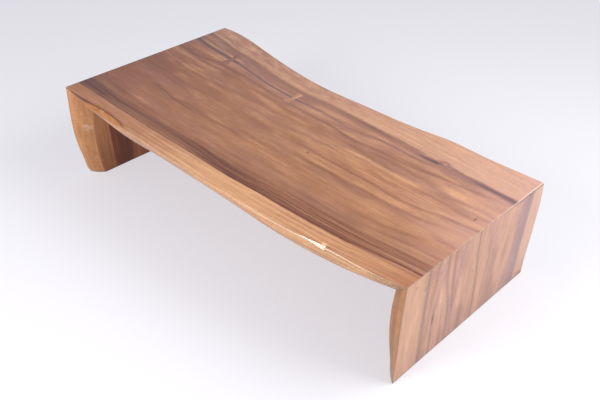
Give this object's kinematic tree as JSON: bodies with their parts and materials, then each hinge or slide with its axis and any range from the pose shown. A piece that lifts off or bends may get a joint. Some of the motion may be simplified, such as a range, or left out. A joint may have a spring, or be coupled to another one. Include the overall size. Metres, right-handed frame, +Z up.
{
  "type": "coffee table",
  "caption": "Rectangular live-edge waterfall coffee table: a thick slab top mitred to full-width slab legs, with butterfly keys across a filled crack.",
  "frame": {"origin": "on the floor, under the middle of the box round the table", "axes": "+X along the table to its right end, +Y from the near long edge to the far one, +Z up"},
  "size_m": [1.5, 0.8194, 0.4],
  "materials": {
    "plank": "satin",
    "dark_key": "satin",
    "pale_key": "satin",
    "fill": "satin",
    "tenon": "raw",
    "felt": "matt"
  },
  "bodies": {
    "root": {"butterfly_key_left": "dark_key", "butterfly_key_right": "pale_key", "crack_fill": "fill", "left_foot_pad_far": "felt", "left_foot_pad_near": "felt", "left_leg_board": "plank", "left_mitre_tenon_1": "tenon", "left_mitre_tenon_2": "tenon", "left_mitre_tenon_3": "tenon", "left_mitre_tenon_4": "tenon", "left_mitre_tenon_5": "tenon", "right_foot_pad_far": "felt", "right_foot_pad_near": "felt", "right_leg_board": "plank", "right_mitre_tenon_1": "tenon", "right_mitre_tenon_2": "tenon", "right_mitre_tenon_3": "tenon", "right_mitre_tenon_4": "tenon", "right_mitre_tenon_5": "tenon", "top_board": "plank"}
  },
  "joints": []
}
